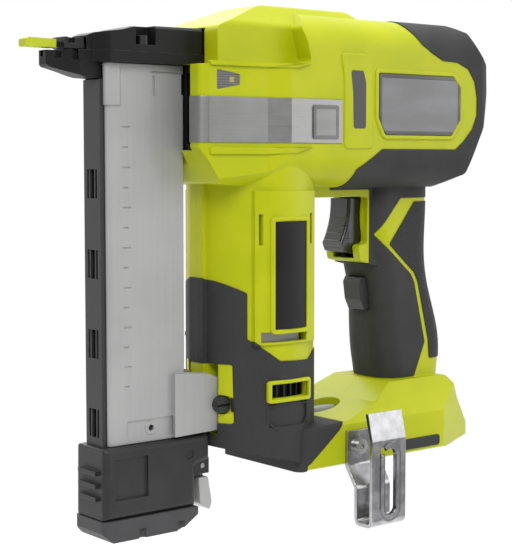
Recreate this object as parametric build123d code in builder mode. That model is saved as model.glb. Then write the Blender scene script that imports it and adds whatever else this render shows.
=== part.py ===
from build123d import *
from math import cos, sin, radians
import os

os.makedirs("parts", exist_ok=True)

# Cordless brad nailer, in millimetres. The nose points to -X, the left side is -Y
# and up is +Z. The origin is the centre of the front face of the no-mar pad.

# ---------------------------------------------------------------- driving dimensions
wall = 2.8                      # moulded casing wall
rib_thickness = 2.4             # ribs inside the casing
skin_proud = 0.5                # overmould above the casing surface
skin_sink = 1.2                 # overmould bedded below the casing surface
fit = 0.1                       # between parts bedded in one another
slide_fit = 0.35                # between parts that slide
pin_fit = 0.05                  # radial, hinge pins

body_front = 84.0
body_half = 36.0
head_top = 21.5
head_bottom = -71.0
head_rear = 300.0
rear_corner = 24.0
head_round = 19.0
facet_turn = 39.0               # the rear corner facets face this far round from +X
block_half = 25.0
block_top = 25.5

barrel_x = 139.0
barrel_radius = 34.5
barrel_bottom = -217.0
rib_front = 102.8
rib_half = 5.3
panel_half = 35.5
panel_curve = 45.0

grip_half = 18.0
grip_corner = 13.0
grip_stations = (               # height, front, rear
    (-56.0, 212.0, 264.0),
    (-80.0, 212.0, 262.5),
    (-104.0, 214.0, 261.5),
    (-122.0, 219.0, 263.0),
    (-148.0, 222.0, 271.0),
    (-176.0, 225.0, 274.0),
    (-198.0, 222.0, 276.0),
)
bezel_half = 14.0

foot_half = 36.0
foot_bottom = -222.0
foot_front = 146.0
foot_rear = 297.0

drive_axis = -4.9               # height of the driver blade and its cylinder
cylinder_radius = 21.0
cylinder_bore = 18.6
cylinder_front = 168.0
cylinder_rear = 268.0
blade_half = 1.5
blade_half_height = 1.1

pad_length = 17.0
pad_half = 3.2
seam_height = -2.3              # between nose cover and nose plate
nose_front = 11.0
nose_half = 13.5
nose_bottom = -8.0

mag_front = 41.0
mag_rear = 88.0
mag_half = 9.5
mag_top = nose_bottom - 0.3
mag_bottom = -199.0
mag_wall = 1.8
rail_front = 38.5
rail_half = mag_half - mag_wall - slide_fit
rail_wall = 1.6
handle_half = 13.5
handle_bottom = -236.0
base_bottom = -247.0
lug_half = 12.0
lug_z = -184.0
lug_screw_x = 108.0

trigger_half = 8.2
trigger_pin_x = 219.0
trigger_pin_z = -81.5
trigger_pin_radius = 2.0
button_half = 6.7
button_front = 213.5
button_top = -123.0
button_bottom = -142.0

lever_x = 191.0
lever_z = -197.0

motor_radius = 21.5
motor_bottom = -196.0
motor_top = -132.0
shaft_radius = 2.5
gearbox_radius = 22.0
gearbox_top = -76.0
shaft_height = -20.5            # cross shaft of the lifter
shaft_end = 16.0
cheek = 5.0                     # gearbox arms that hold the shaft bearings
lifter_radius = 12.0
lifter_tooth = 2.0
gear_radius = 20.0              # bevel gear on the cross shaft
pinion_radius = 10.0            # bevel pinion on the motor shaft

band_low = -47.0
band_high = -24.0
band_end = 173.0

hook_width = 25.0
hook_x = 189.0
hook_gauge = 2.0
hook_screw_x = 185.0
hook_screw_z = -212.0
hook_screw_radius = 2.2


# ---------------------------------------------------------------- shared forms
def side_prism(points, radius, half, grow=0.0):
    """Block with the given side outline, moved outward by grow and spread to both sides."""
    with BuildPart() as prism:
        with BuildSketch(Plane.XZ) as side:
            with BuildLine():
                Polyline(*points, close=True)
            make_face()
            if grow:
                offset(amount=grow, kind=Kind.INTERSECTION)
            if radius > 0:
                fillet(side.vertices(), max(radius + grow, 0.4))
        extrude(amount=half + grow, both=True)
    return prism.part


def plan_prism(points, radius, grow=0.0, rear_radius=0.0):
    """Tall block with the given plan outline, its rear corners rounded more."""
    with BuildPart() as prism:
        with BuildSketch(Plane.XY.offset(-300)) as plan:
            with BuildLine():
                Polyline(*points, close=True)
            make_face()
            if grow:
                offset(amount=grow, kind=Kind.INTERSECTION)
            rear = plan.vertices().group_by(Axis.X)[-1]
            front = [corner for corner in plan.vertices() if corner not in rear]
            fillet(front, max(radius + grow, 0.4))
            rear = plan.vertices().group_by(Axis.X)[-1]
            fillet(rear, max((rear_radius or radius) + grow, 0.4))
        extrude(amount=400)
    return prism.part


def section_prism(points, radius, grow=0.0):
    """Long block along X with the given cross-section."""
    with BuildPart() as prism:
        with BuildSketch(Plane.YZ.offset(40)) as section:
            with BuildLine():
                Polyline(*points, close=True)
            make_face()
            if grow:
                offset(amount=grow, kind=Kind.INTERSECTION)
            fillet(section.vertices(), radius + grow)
        extrude(amount=300)
    return prism.part


def facet_prism(points, side, grow=0.0):
    """Long block whose outline is seen square to a rear corner of the head."""
    turn = radians(facet_turn)
    view = Plane(
        origin=(0, 0, 0), x_dir=(cos(turn), side * sin(turn), 0), z_dir=(side * sin(turn), -cos(turn), 0)
    )
    with BuildPart() as prism:
        with BuildSketch(view) as outline:
            with BuildLine():
                Polyline(*points, close=True)
            make_face()
            if grow:
                offset(amount=grow, kind=Kind.INTERSECTION)
            fillet(outline.vertices(), max(3.0 + grow, 0.4))
        extrude(amount=400, both=True)
    return prism.part


def box(x0, x1, y0, y1, z0, z1):
    """Plain block between two corners."""
    with BuildPart() as block:
        with Locations(((x0 + x1) / 2, (y0 + y1) / 2, (z0 + z1) / 2)):
            Box(x1 - x0, y1 - y0, z1 - z0)
    return block.part


def rod_y(x, z, radius, y0, y1):
    """Round bar across the tool."""
    with BuildPart() as rod:
        with BuildSketch(Plane.XZ.offset(-y0)):
            with Locations((x, z)):
                Circle(radius)
        extrude(amount=-(y1 - y0))
    return rod.part


def rod_x(y, z, radius, x0, x1):
    """Round bar along the tool."""
    with BuildPart() as rod:
        with BuildSketch(Plane.YZ.offset(x0)):
            with Locations((y, z)):
                Circle(radius)
        extrude(amount=x1 - x0)
    return rod.part


def rod_z(x, y, radius, z0, z1):
    """Round upright bar."""
    with BuildPart() as rod:
        with BuildSketch(Plane.XY.offset(z0)):
            with Locations((x, y)):
                Circle(radius)
        extrude(amount=z1 - z0)
    return rod.part


# ---------------------------------------------------------------- casing form
margin = 3.0                    # one form runs this far past the other that trims it
head_side = (
    (body_front - margin, -8), (152, -6), (147, 13), (156, head_top + margin),
    (268, head_top + margin), (286, 16), (head_rear + margin, -4), (head_rear + margin, -31),
    (297, -47), (284, -66), (266, head_bottom - margin), (178, head_bottom - margin),
    (96, -68), (body_front - margin, -45),
)
facet_outline = (               # distance towards the corner, height
    (-300, -82), (202, -75), (232.5, -63.5), (243.6, -36.6), (245.9, -17), (245.2, -1),
    (233.2, 16.8), (217, 22.5), (200, 34), (-300, 34),
)
head_plan = (
    (body_front, -28), (88, -30), (124, -33), (142, -body_half - 1), (head_rear, -body_half - 1),
    (head_rear, body_half + 1), (142, body_half + 1), (124, 33), (88, 30), (body_front, 28),
)
head_section = (
    (-body_half, head_bottom), (body_half, head_bottom),
    (body_half, head_top), (-body_half, head_top),
)
block_side = (
    (98, -30), (98, 12), (130, 24), (150, block_top + margin), (190, block_top + margin),
    (204, 19), (206, -30),
)
block_section = (
    (-block_half, -40), (block_half, -40), (block_half, 14), (14, block_top),
    (-14, block_top), (-block_half, 14),
)
barrel_side = ((95, -35), (184, -35), (184, barrel_bottom), (150, barrel_bottom), (95, -203.5))
bezel_side = (
    (165, -60), (165, -76.5), (213, -76.5), (213, -103), (206, -104), (208, -113),
    (226, -117), (232, -60),
)
foot_side = (
    (foot_front - margin, foot_bottom - margin), (foot_front - margin, -200), (180, -198),
    (205, -191), (222, -182), (268, -182), (278, -197), (foot_rear + margin, -219),
    (foot_rear + margin, foot_bottom - margin),
)
foot_plan = (
    (foot_front, -31), (151, -foot_half), (254, -foot_half), (foot_rear, -14),
    (foot_rear, 14), (254, foot_half), (151, foot_half), (foot_front, 31),
)
foot_section = (
    (-foot_half - 1, foot_bottom), (foot_half + 1, foot_bottom), (foot_half + 1, -201),
    (21, -182 + margin), (-21, -182 + margin), (-foot_half - 1, -201),
)


def head_form(grow):
    """Wide upper body with its rounded rear."""
    with BuildPart() as head:
        add(side_prism(head_side, 3.0, body_half + 10, grow))
        add(plan_prism(head_plan, 3.0, grow, rear_corner), mode=Mode.INTERSECT)
        add(section_prism(head_section, head_round, grow), mode=Mode.INTERSECT)
        for side in (-1, 1):
            add(facet_prism(facet_outline, side, grow), mode=Mode.INTERSECT)
    return head.part


def block_form(grow):
    """Narrower raised block over the front of the cylinder."""
    with BuildPart() as block:
        add(side_prism(block_side, 4.0, block_half + 10, grow))
        add(section_prism(block_section, 5.0, grow), mode=Mode.INTERSECT)
    return block.part


def barrel_form(grow):
    """Upright motor barrel with its front rib and raised side panels."""
    with BuildPart() as barrel:
        with BuildSketch(Plane.XY.offset(barrel_bottom - margin)):
            with Locations((barrel_x, 0)):
                Circle(barrel_radius + grow)
            with Locations((rib_front - grow + 10, 0)):
                Rectangle(20, 2 * (rib_half + grow))
        extrude(amount=-45 - barrel_bottom + margin)
        add(side_prism(barrel_side, 3.0, 50, grow), mode=Mode.INTERSECT)
    with BuildPart() as panel:
        with BuildSketch(Plane.XY.offset(-152 - grow)):
            with Locations((barrel_x, panel_curve - panel_half)):
                Circle(panel_curve + grow)
            with Locations((barrel_x, panel_half - panel_curve)):
                Circle(panel_curve + grow, mode=Mode.INTERSECT)
            with Locations((barrel_x - 1, 0)):
                Rectangle(40 + 2 * grow, 100, mode=Mode.INTERSECT)
        extrude(amount=80 + 2 * grow)
        add(barrel.part)
    return panel.part


def grip_form(grow):
    """Handle, lofted through rounded sections."""
    with BuildPart() as grip:
        for height, front, rear in grip_stations:
            with BuildSketch(Plane.XY.offset(height)):
                with Locations(((front + rear) / 2, 0)):
                    RectangleRounded(rear - front + 2 * grow, 2 * (grip_half + grow), grip_corner + grow)
        loft()
    return grip.part


def foot_form(grow):
    """Foot that carries the battery."""
    with BuildPart() as foot:
        add(side_prism(foot_side, 4.0, foot_half + 10, grow))
        add(plan_prism(foot_plan, 4.0, grow), mode=Mode.INTERSECT)
        add(section_prism(foot_section, 4.0, grow), mode=Mode.INTERSECT)
    return foot.part


def in_foot(block, grow):
    """The part of a block inside the plan outline of the foot."""
    with BuildPart() as kept:
        add(block)
        add(plan_prism(foot_plan, 4.0, grow), mode=Mode.INTERSECT)
    return kept.part


def casing_form(grow):
    """Whole outer shape of the casing, moved outward by grow."""
    with BuildPart() as casing:
        add(head_form(grow))
        add(block_form(grow))
        add(barrel_form(grow))
        add(side_prism(bezel_side, 2.0, bezel_half, grow))
        add(grip_form(grow))
        add(foot_form(grow))
    return casing.part



def layer(outside, inside, region):
    """Skin between two forms, kept only within a region."""
    with BuildPart() as skin:
        add(outside)
        add(inside, mode=Mode.SUBTRACT)
        add(region, mode=Mode.INTERSECT)
    return skin.part


def left_half(whole):
    """The part of a piece on the left of the joint plane."""
    with BuildPart() as side:
        add(whole)
        split(bisect_by=Plane.XZ, keep=Keep.TOP)
    return side.part


def mirrored(piece):
    """The same piece on the other side of the joint plane."""
    with BuildPart() as other:
        mirror(piece, about=Plane.XZ)
    return other.part


def write(piece, name):
    """Label a piece and write its STEP file."""
    piece.label = name
    export_step(piece, f"parts/{name}.step")


def write_pair(piece, name):
    """Write the left piece and its mirror image."""
    write(piece, f"left_{name}")
    write(mirrored(piece), f"right_{name}")


# ---------------------------------------------------------------- regions of the skin
skin_side = (
    (222, 60), (226, 19), (234, 8.5), (241, 4), (250, 0), (262, -0.5), (271, -4),
    (276.5, -11), (278.5, -20), (278.5, -30), (275, -38), (268, -45), (261, -50), (203, -50),
    (186, -61), (184, -72.5), (214.5, -72.5), (214.5, -115),
    (196, -115), (196, -181.5), (247, -181.5), (255.5, -162), (246.5, -126.5),
    (243.5, -121.5), (222, -103.5), (216.5, -98), (235, -77.5), (340, -77.5), (340, 60),
)
palm_side = (
    (246, -79.8), (226.5, -104), (246.5, -121), (249.5, -126.5), (258.5, -161),
    (259.5, -172), (300, -172), (300, -79.8),
)
bumper_side = (
    (80, -235), (80, -194), (111.5, -194), (111, -162.5), (80, -162.5), (80, -116),
    (98, -116), (106, -119), (116, -125), (116, -149), (132, -161), (153, -162),
    (160, -158), (176, -158), (176, -197), (172, -202), (150, -219), (149, -235),
)
badge_side = ((200, -9), (258, -9), (264, -15), (264, -33), (257, -42), (205, -42), (200, -33))
accent_side = ((179, -8), (188, -8), (190, -14), (190, -39), (181, -39), (180.5, -20))
plate_side = ((128, -88), (149, -88), (149, -144), (128, -144))
lens_side = ((93.5, -10.5), (107, -12.7), (107, -17.8), (93.5, -20.5))
tag_side = ((152, -27), (170, -27), (170, -45), (152, -45))

outer = casing_form(0.0)
inner = casing_form(-wall)
proud = casing_form(skin_proud)
bed = casing_form(-skin_sink)
head_outer = head_form(0.0)
head_bed = head_form(-1.0)
head_proud = head_form(0.6)
barrel_bed = barrel_form(-0.8)
barrel_proud = barrel_form(0.6)

skin_region = side_prism(skin_side, 1.2, 60)
palm_region = side_prism(palm_side, 1.2, 60)
bumper_region = side_prism(bumper_side, 1.2, 60)
band_region = box(80, band_end, -60, 60, band_low, band_high)

# spaces shared by the casing and the parts that pass through it
front_channel = box(70, 96.2, -20.5, 20.5, -51, -7.9)
mag_channel = box(70, mag_rear + 1.5, -11, 11, -71, -50)
nose_pocket = box(80, 122, -nose_half - 0.4, nose_half + 0.4, nose_bottom - 0.1, 11.4)
lug_height = (-200.5, -162.5)
lug_spaces = [box(70, 114.3, y - 3.2, y + 3.2, *lug_height) for y in (-9.8, 9.8)]
trigger_space = box(190, 227, -trigger_half - 0.4, trigger_half + 0.4, -111.5, -75)
button_space = box(205, 232, -button_half - 0.3, button_half + 0.3, button_bottom - 0.3, button_top + 0.3)
lever_space = rod_z(lever_x, 0, 10.7, lever_z - 6.0, -180)
socket_mouth = in_foot(box(196, 284, -26.5, 26.5, foot_bottom - 5, -206), -wall)
window_outline = ((124.5, -171.5), (152.5, -171.5), (152.5, -182.5), (124.5, -182.5))
window_frame = side_prism(window_outline, 1.5, 60)
window_hole = side_prism(window_outline, 1.5, 60, -1.8)

# ---------------------------------------------------------------- casing halves
with BuildPart() as cavity:
    add(inner)
    add(box(80, 93, -14, 14, -72, -50.5), mode=Mode.SUBTRACT)
    add(box(100, 117, -16, 16, -204, -160), mode=Mode.SUBTRACT)
    add(rod_z(lever_x, 0, 13.5, lever_z - 9, -180), mode=Mode.SUBTRACT)
    for low, bore in ((-190, motor_radius), (-150, motor_radius), (-100, gearbox_radius)):
        with BuildPart(mode=Mode.PRIVATE) as ring:
            add(rod_z(barrel_x, 0, barrel_radius - 1, low, low + rib_thickness))
            add(rod_z(barrel_x, 0, bore + fit, low - 1, low + 4), mode=Mode.SUBTRACT)
        add(ring.part, mode=Mode.SUBTRACT)
    for front in (180.0, 246.0):
        with BuildPart(mode=Mode.PRIVATE) as bulkhead:
            add(box(front, front + rib_thickness, -40, 40, -45, 40))
            add(rod_x(0, drive_axis, cylinder_radius + fit, front - 1, front + 4), mode=Mode.SUBTRACT)
        add(bulkhead.part, mode=Mode.SUBTRACT)

with BuildPart() as casing:
    add(outer)
    add(cavity.part, mode=Mode.SUBTRACT)
    for region in (skin_region, palm_region):
        add(layer(proud, bed, region), mode=Mode.SUBTRACT)
    with BuildPart(mode=Mode.PRIVATE) as bumper_cut:
        add(layer(proud, bed, bumper_region))
        add(window_frame, mode=Mode.SUBTRACT)
    add(bumper_cut.part, mode=Mode.SUBTRACT)
    add(layer(head_proud, head_bed, band_region), mode=Mode.SUBTRACT)
    for outline in (badge_side, accent_side):
        add(layer(head_proud, head_bed, side_prism(outline, 1.5, 60, fit)), mode=Mode.SUBTRACT)
    add(layer(barrel_proud, barrel_bed, side_prism(plate_side, 1.5, 60, fit)), mode=Mode.SUBTRACT)
    add(side_prism(lens_side, 0.6, 60, fit), mode=Mode.SUBTRACT)
    for space in (front_channel, mag_channel, nose_pocket, *lug_spaces):
        add(space, mode=Mode.SUBTRACT)
    for space in (trigger_space, button_space, lever_space, socket_mouth, window_hole):
        add(space, mode=Mode.SUBTRACT)
    for slot_x in (121.0, 154.0):
        add(box(slot_x - 1, slot_x + 1, -60, 60, -100, -84), mode=Mode.SUBTRACT)
    add(box(121, 150, -60, 60, -151, -145.5), mode=Mode.SUBTRACT)
    add(rod_y(trigger_pin_x, trigger_pin_z, trigger_pin_radius + pin_fit, -20, 20), mode=Mode.SUBTRACT)
    add(rod_y(lug_screw_x, lug_z, 2.3, -20, 20), mode=Mode.SUBTRACT)
    for side in (-1, 1):
        add(rod_y(lug_screw_x, lug_z, 5.0, side * 26.4 - 14, side * 26.4 + 14), mode=Mode.SUBTRACT)
    add(rod_y(hook_screw_x, hook_screw_z, hook_screw_radius + pin_fit, -60, 60), mode=Mode.SUBTRACT)
write_pair(left_half(casing.part), "housing")

with BuildPart() as grip_skin:
    add(layer(proud, bed, skin_region))
    add(trigger_space, mode=Mode.SUBTRACT)
    add(button_space, mode=Mode.SUBTRACT)
write_pair(left_half(grip_skin.part), "grip_overmould")

write(layer(proud, bed, palm_region), "palm_pad")

with BuildPart() as bumper:
    add(layer(proud, bed, bumper_region))
    add(window_frame, mode=Mode.SUBTRACT)
    for space in lug_spaces:
        add(space, mode=Mode.SUBTRACT)
    add(layer(barrel_proud, barrel_form(-0.4), box(126, 152, -60, 60, -196, -183)), mode=Mode.SUBTRACT)
write_pair(left_half(bumper.part), "barrel_bumper")

with BuildPart() as band:
    add(layer(head_proud, head_bed, band_region))
    add(front_channel, mode=Mode.SUBTRACT)
write(band.part, "cylinder_band")

write_pair(left_half(layer(head_form(1.2), head_proud, side_prism(tag_side, 1.5, 60))), "band_tag")
write_pair(left_half(layer(head_form(0.8), head_bed, side_prism(badge_side, 1.4, 60))), "badge")
write_pair(left_half(layer(head_form(0.8), head_bed, side_prism(accent_side, 1.4, 60))), "accent")
write_pair(left_half(layer(barrel_proud, barrel_bed, side_prism(plate_side, 1.4, 60))), "name_plate")
write_pair(left_half(layer(head_outer, head_form(-1.6), side_prism(lens_side, 0.6, 60))), "led_lens")

# ---------------------------------------------------------------- nose
pad_slot_half = 1.8
tongue_half_height = 1.2
trip_floor = seam_height + 0.3
trip_rear = 78.0
spring_rear = 92.0
nose_plan = (
    (nose_front, -3.8), (20, -4.4), (28, -6.4), (36, -6.8), (41, -nose_half), (116, -nose_half),
    (116, nose_half), (41, nose_half), (36, 6.8), (28, 6.4), (20, 4.4), (nose_front, 3.8),
)

with BuildPart() as pad:
    with BuildSketch(Plane.XZ) as pad_side:
        with BuildLine():
            Polyline(
                (0, -1.6), (0, 1.6), (2.2, 2.4), (pad_length, 2.2), (pad_length, -2.0), (1.0, -2.0),
                close=True,
            )
        make_face()
        fillet(pad_side.vertices(), 0.2)
    extrude(amount=pad_half, both=True)
    add(
        box(3, 30, -pad_slot_half, pad_slot_half, -tongue_half_height, tongue_half_height),
        mode=Mode.SUBTRACT,
    )
write(pad.part, "no_mar_pad")

with BuildPart() as trip:
    add(box(3, 26, -pad_slot_half, pad_slot_half, -tongue_half_height, tongue_half_height))
    add(box(pad_length + 3, 31, -5.6, 5.6, trip_floor, 3.4))
    add(box(24, trip_rear, -4.0, 4.0, trip_floor, 0.4))
    add(box(pad_length + 5, 26, -6, -2.6, 0.6, 5), mode=Mode.SUBTRACT)
write(trip.part, "contact_trip")

with BuildPart() as trip_spring:
    with BuildSketch(Plane.YZ.offset(trip_rear)):
        with Locations((0, trip_floor + 1.6)):
            Circle(1.5)
            Circle(0.9, mode=Mode.SUBTRACT)
    extrude(amount=spring_rear - trip_rear)
write(trip_spring.part, "trip_spring")

with BuildPart() as cover:
    with BuildSketch(Plane.XZ):
        with BuildLine():
            Polyline(
                (32, seam_height), (32, 4.6), (36, 6.2), (48, 7.8), (58, 10.4), (97, 11.0),
                (97, seam_height), close=True,
            )
        make_face()
    extrude(amount=nose_half + 5, both=True)
    add(plan_prism(nose_plan, 0.8), mode=Mode.INTERSECT)
    for side in (-1, 1):
        with BuildSketch(Plane.YZ.offset(30)):
            with BuildLine():
                Polyline(
                    (side * (nose_half + 1), 13), (side * (nose_half + 1), 8.4),
                    (side * (nose_half - 3.6), 13), close=True,
                )
            make_face()
        extrude(amount=80, mode=Mode.SUBTRACT)
    add(box(20, 42, -5.95, 5.95, seam_height - 1, 3.8), mode=Mode.SUBTRACT)
    add(box(20, spring_rear, -4.35, 4.35, seam_height - 1, 1.2), mode=Mode.SUBTRACT)
    for side in (-1, 1):
        add(box(56, 68, side * 10 - 4.2, side * 10 + 4.2, 1.0, 12), mode=Mode.SUBTRACT)
write(cover.part, "nose_cover")

with BuildPart() as plate:
    add(box(20, 112, -nose_half - 5, nose_half + 5, nose_bottom, seam_height))
    add(plan_prism(nose_plan, 0.8), mode=Mode.INTERSECT)
    with BuildSketch(Plane.XZ):
        with BuildLine():
            Polyline(
                (nose_front, -3.2), (nose_front, -10), (12.5, -11.2), (32, -15.6), (40.6, -15.9),
                (40.6, nose_bottom), (24, nose_bottom), (24, seam_height), (22.5, seam_height),
                (22.5, -3.2), close=True,
            )
        make_face()
    extrude(amount=6.4, both=True)
    with BuildPart(mode=Mode.PRIVATE) as beyond:
        add(box(0, 60, -20, 20, -20, 0))
        add(plan_prism(nose_plan, 0.8), mode=Mode.SUBTRACT)
    add(beyond.part, mode=Mode.SUBTRACT)
    add(box(5, 120, -blade_half - 0.3, blade_half + 0.3, -6.3, -3.5), mode=Mode.SUBTRACT)
    add(box(15, 19, -8, -2.6, -7.0, -2), mode=Mode.SUBTRACT)
    add(box(24, 27.5, -8, -4.4, -7.5, -2), mode=Mode.SUBTRACT)
write(plate.part, "nose_plate")

with BuildPart() as nose_screws:
    for side in (-1, 1):
        with BuildSketch(Plane.XY.offset(1.0)):
            with Locations((62, side * 10.2)):
                Circle(2.9)
        extrude(amount=4.6)
        with BuildSketch(Plane.XY.offset(seam_height)):
            with Locations((103, side * 9.6)):
                Circle(3.0)
        extrude(amount=5.0)
    with Locations((62, -10.2, 5.6), (62, 10.2, 5.6), (103, -9.6, 2.7), (103, 9.6, 2.7)):
        Hole(1.4, 2.4)
write(nose_screws.part, "nose_screws")

with BuildPart() as frame:
    add(box(mag_rear + 0.6, 96, -20.3, 20.3, -50.8, nose_bottom))
    for side in (-1, 1):
        add(box(80, 92, side * 14 - 3.4, side * 14 + 3.4, -48, -12), mode=Mode.SUBTRACT)
write(frame.part, "nose_frame")

# ---------------------------------------------------------------- magazine
with BuildPart() as shell:
    with BuildSketch(Plane.XY.offset(mag_bottom)) as shell_plan:
        with Locations(((mag_front + mag_rear) / 2, 0)):
            Rectangle(mag_rear - mag_front, 2 * mag_half)
        fillet(shell_plan.vertices().group_by(Axis.X)[0], 2.4)
        fillet(shell_plan.vertices().group_by(Axis.X)[-1], 1.0)
    extrude(amount=mag_top - mag_bottom)
    with BuildSketch(Plane.XY.offset(-29)) as collar_plan:
        with Locations((mag_front + 4.2, 0)):
            Rectangle(9.8, 2 * mag_half + 1.4)
        fillet(collar_plan.vertices(), 2.2)
    extrude(amount=29 + mag_top)
    with BuildSketch(Plane.XZ) as lug_side:
        with BuildLine():
            Polyline((80, -165.5), (101, -167), (111, -171), (113.5, -197.5), (80, -198.5), close=True)
        make_face()
        fillet(lug_side.vertices().group_by(Axis.X)[-1], 2.5)
    extrude(amount=lug_half, both=True)
    add(box(mag_rear + 2, 125, -6.9, 6.9, -220, -160), mode=Mode.SUBTRACT)
    add(box(30, mag_rear - mag_wall, mag_wall - mag_half, mag_half - mag_wall, -220, 0), mode=Mode.SUBTRACT)
    for side in (-1, 1):
        y = side * mag_half
        add(box(mag_rear - 1.5, mag_rear + 1, y - 4, y + 4, -23, -12.5), mode=Mode.SUBTRACT)
        add(box(68, mag_rear, y - 0.5, y + 0.5, -12.5, -11.7), mode=Mode.SUBTRACT)
        add(box(69, 70.2, y - 0.7, y + 0.7, -24, -14), mode=Mode.SUBTRACT)
        add(box(52, 82, y - 0.7, y + 0.7, -197, -187.5), mode=Mode.SUBTRACT)
        add(rod_y(67, -192.2, 3.6, y - side * 0.8 - 0.4, y - side * 0.8 + 0.7))
    add(rod_y(67, -192.2, 1.6, -20, 20), mode=Mode.SUBTRACT)
    for number in range(14):
        z = -40 - 10 * number
        add(box(50.5, 53.5 if number % 2 else 55, -10, -mag_half + 0.35, z, z + 0.7), mode=Mode.SUBTRACT)
    add(rod_y(lug_screw_x, lug_z, 2.1, -20, 20), mode=Mode.SUBTRACT)
write(shell.part, "magazine_shell")

with BuildPart() as lug_screw:
    add(rod_y(lug_screw_x, lug_z, 2.0, -lug_half - 0.2, lug_half - 1))
    add(rod_y(lug_screw_x, lug_z, 4.3, -lug_half - 5.0, -lug_half))
    for tooth in range(18):
        turn = radians(20 * tooth)
        add(
            rod_y(
                lug_screw_x + 4.4 * cos(turn), lug_z + 4.4 * sin(turn), 0.4,
                -lug_half - 6, -lug_half - 0.6,
            ),
            mode=Mode.SUBTRACT,
        )
    add(box(103, 113, -19, -lug_half - 3.6, lug_z - 0.6, lug_z + 0.6), mode=Mode.SUBTRACT)
write(lug_screw.part, "lug_screw")

rail_rear = mag_rear - mag_wall - slide_fit
rail_top = -16.3
window_height = 14.5
window_pitch = 40.0
with BuildPart() as rail:
    add(box(rail_front, rail_rear, -rail_half, rail_half, mag_bottom - 1, rail_top))
    inner_half = rail_half - rail_wall
    add(
        box(rail_front + rail_wall, rail_rear - rail_wall, -inner_half, inner_half, -196, 0),
        mode=Mode.SUBTRACT,
    )
    for row in range(4):
        low = -75 - window_pitch * row
        for y, half_slot in ((-3.7, 0.9), (0, 1.9), (3.7, 0.9)):
            add(box(30, 44, y - half_slot, y + half_slot, low, low + window_height), mode=Mode.SUBTRACT)
write(rail.part, "magazine_rail")

with BuildPart() as pusher:
    add(box(41.2, 80, -inner_half + 0.35, inner_half - 0.35, -52, -38))
    add(box(41.2, 78, -1.6, 1.6, -38.5, -20))
    fillet(pusher.edges().filter_by(Axis.Y).group_by(Axis.Z)[-1], 1.2)
write(pusher.part, "pusher")

latch_pin_x = 97.6
latch_pin_z = -215.5
with BuildPart() as handle:
    with BuildSketch(Plane.XZ) as handle_side:
        with BuildLine():
            Polyline(
                (36, mag_bottom - 0.4), (101.5, mag_bottom - 0.4), (101.5, -212.5), (92.2, -214.5),
                (92.2, handle_bottom), (35.5, handle_bottom), close=True,
            )
        make_face()
        fillet(handle_side.vertices(), 1.2)
    extrude(amount=handle_half, both=True)
    fillet(handle.edges().filter_by(Axis.Z).group_by(Axis.X)[0], 3.0)
    add(box(92, 104, -6.2, 6.2, -222, -211.0), mode=Mode.SUBTRACT)
    for ear in (-1, 1):
        add(box(92.0, 101.4, ear * 9.4 - 2.8, ear * 9.4 + 2.8, -219.6, -211.5))
    add(rod_y(latch_pin_x, latch_pin_z, 1.5 + pin_fit, -20, 20), mode=Mode.SUBTRACT)
    for step in range(3):
        z = -213 - 6.5 * step
        add(box(33.6, 37, -8, 8, z, z + 2.2))
    for side in (-1, 1):
        y = side * handle_half
        add(box(42, 62, y - 1.2, y + 1.2, -226, -205), mode=Mode.SUBTRACT)
        add(rod_y(88, -208, 2.6, y - 1.5, y + 1.5), mode=Mode.SUBTRACT)
    seat = rail_half + 0.05
    add(
        box(rail_front - 0.05, rail_rear + 0.05, -seat, seat, mag_bottom - 1, -190),
        mode=Mode.SUBTRACT,
    )
write(handle.part, "magazine_handle")

with BuildPart() as handle_screws:
    for side in (-1, 1):
        y = side * (handle_half - 0.9)
        add(rod_y(88, -208, 2.5, y - 0.6, y + 0.6))
write(handle_screws.part, "handle_screws")

with BuildPart() as base:
    with BuildSketch(Plane.XZ) as base_side:
        with BuildLine():
            Polyline(
                (35.0, handle_bottom), (93, handle_bottom), (93, -240), (82, base_bottom),
                (40, base_bottom), (35, -242), close=True,
            )
        make_face()
        fillet(base_side.vertices().group_by(Axis.Y)[0], 2.0)
    extrude(amount=handle_half + 0.6, both=True)
    fillet(base.edges().filter_by(Axis.Z).group_by(Axis.X)[0], 3.4)
    for x in (58, 82):
        add(rod_z(x, -handle_half - 1, 2.2, base_bottom - 1, -242), mode=Mode.SUBTRACT)
        add(rod_z(x, handle_half + 1, 2.2, base_bottom - 1, -242), mode=Mode.SUBTRACT)
write(base.part, "magazine_base")

with BuildPart() as latch:
    with BuildSketch(Plane.XZ) as latch_side:
        with BuildLine():
            Polyline(
                (95.8, -212), (100.4, -212), (104.5, -236), (103, -240), (97, -236), (94.6, -222),
                close=True,
            )
        make_face()
        fillet(latch_side.vertices(), 0.9)
    extrude(amount=6.2 - slide_fit, both=True)
    with BuildSketch(Plane.XZ) as lever_blade:
        with BuildLine():
            Polyline((96, -222), (102, -222), (104.5, -236), (103, -240), (97, -236), close=True)
        make_face()
        fillet(lever_blade.vertices(), 0.9)
    extrude(amount=10.5, both=True)
    add(rod_y(latch_pin_x, latch_pin_z, 1.5 + pin_fit, -20, 20), mode=Mode.SUBTRACT)
write(latch.part, "magazine_latch")

write(rod_y(latch_pin_x, latch_pin_z, 1.5, -11.8, 11.8), "latch_pin")

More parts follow.
